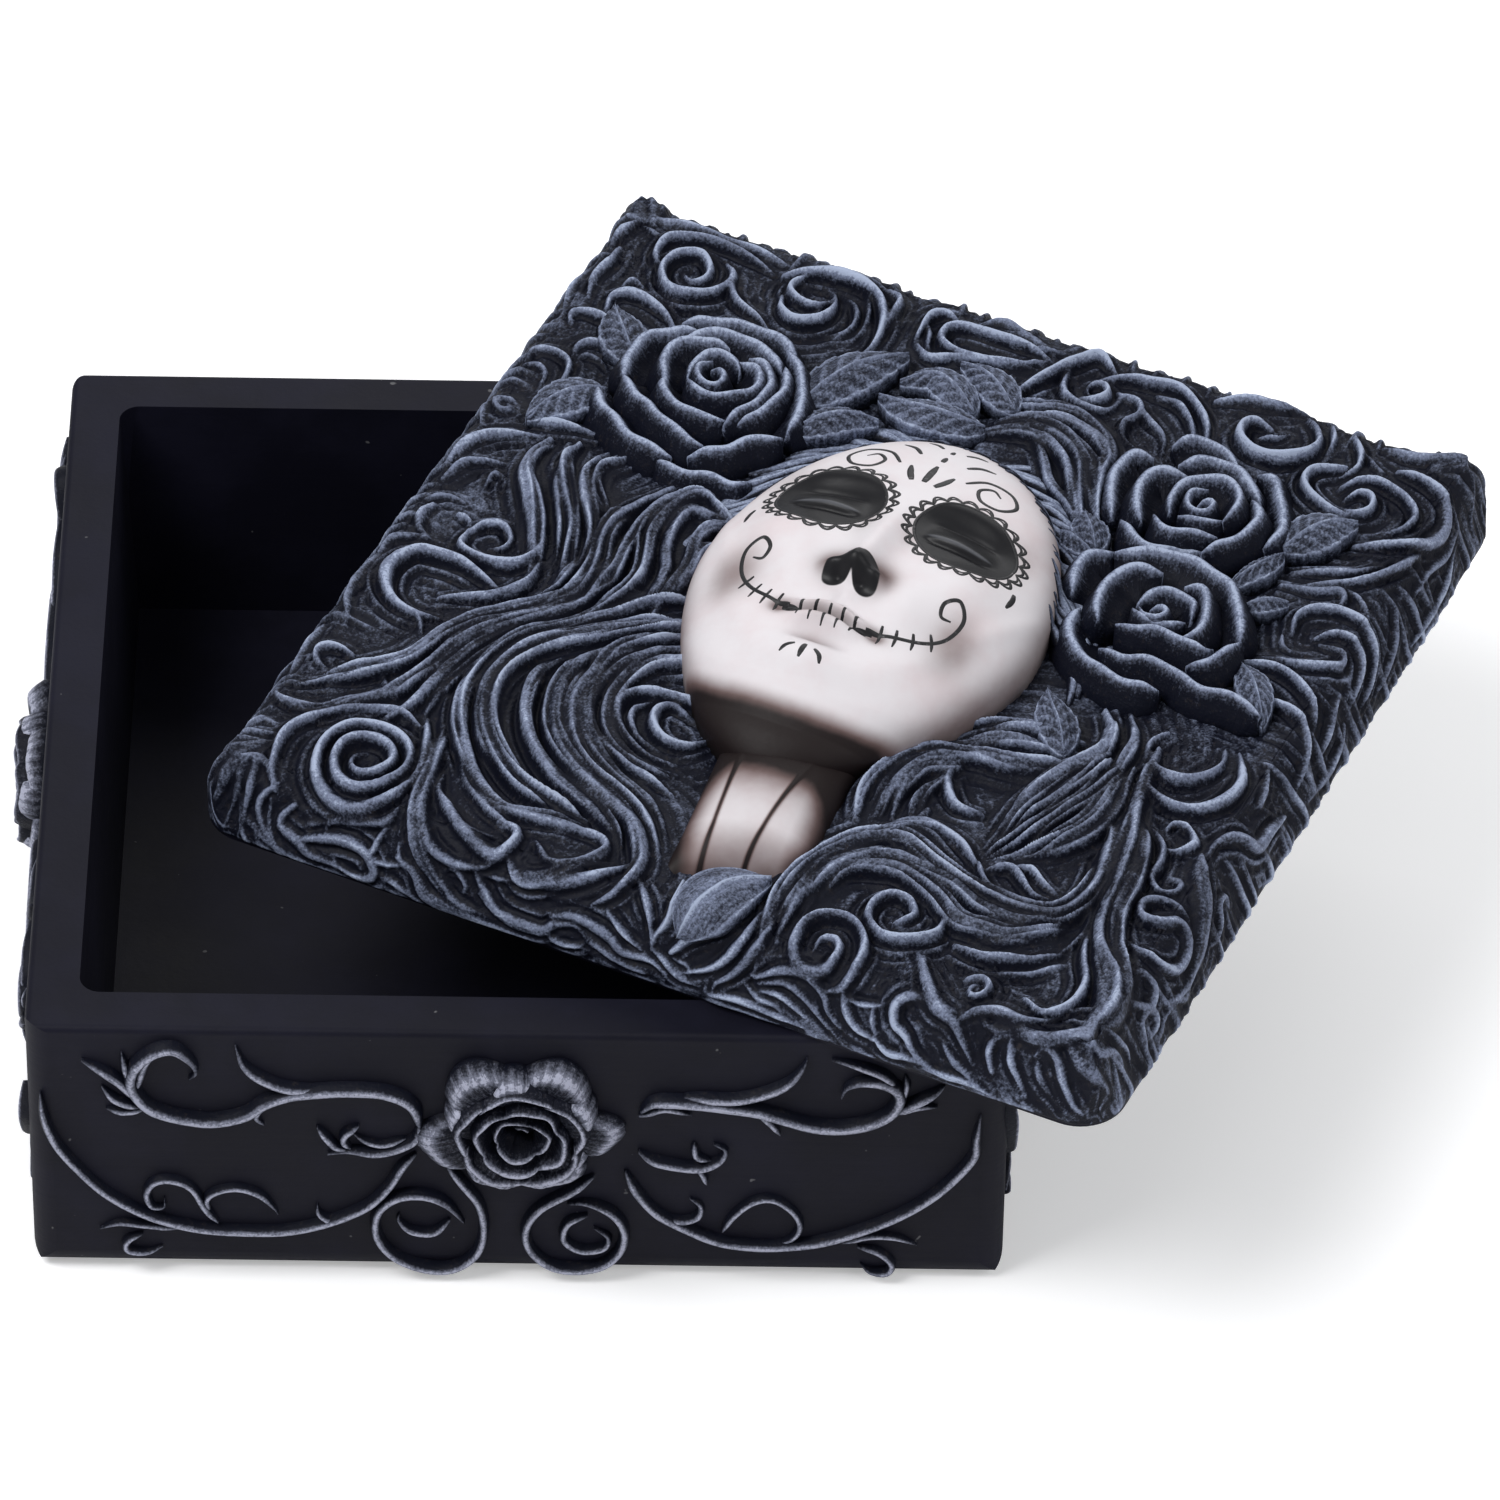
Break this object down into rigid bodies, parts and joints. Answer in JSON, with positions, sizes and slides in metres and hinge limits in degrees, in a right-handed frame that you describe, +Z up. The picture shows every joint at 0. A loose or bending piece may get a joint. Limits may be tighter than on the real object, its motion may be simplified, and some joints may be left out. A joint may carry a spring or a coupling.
{
  "type": "trinket box",
  "caption": "Square cast trinket box with carved roses and scrolls on its walls and a lift-off lid carved in high relief with a lady's head, roses, hair and curls, lying askew on the rim.",
  "frame": {"origin": "middle of the box's flat base", "axes": "+Z up, -Y towards the front wall, +X to the right seen from the front"},
  "size_m": [0.2169, 0.1871, 0.079],
  "materials": {
    "black_resin": "satin",
    "drybrushed_relief": "satin black with blue-grey drybrushed crests",
    "painted_face": "matt off-white paint with black line work"
  },
  "bodies": {
    "box": {"box_body": "black_resin", "front_rose": "drybrushed_relief", "right_rose": "drybrushed_relief", "back_rose": "drybrushed_relief", "left_rose": "drybrushed_relief", "front_scrolls": "drybrushed_relief", "right_scrolls": "drybrushed_relief", "back_scrolls": "drybrushed_relief", "left_scrolls": "drybrushed_relief"},
    "lid": {"lid_slab": "black_resin", "lid_pegs": "black_resin", "head": "painted_face", "neck": "painted_face", "rose_upper_left": "drybrushed_relief", "rose_upper_right": "drybrushed_relief", "rose_lower_right": "drybrushed_relief", "leaves_left": "drybrushed_relief", "leaves_brow": "drybrushed_relief", "leaves_right": "drybrushed_relief", "leaf_throat": "drybrushed_relief", "hair_left": "drybrushed_relief", "hair_right": "drybrushed_relief", "hair_crown": "drybrushed_relief", "scrolls_top": "drybrushed_relief", "scrolls_left": "drybrushed_relief", "scrolls_right": "drybrushed_relief", "scrolls_bottom": "drybrushed_relief", "fringe_front": "drybrushed_relief", "fringe_right": "drybrushed_relief", "fringe_back": "drybrushed_relief", "fringe_left": "drybrushed_relief"}
  },
  "joints": [
    {"name": "lid_lift", "type": "slide", "parent": "box", "child": "lid", "axis": [0, 0, 1], "range_m": [0, 0.12]}
  ]
}
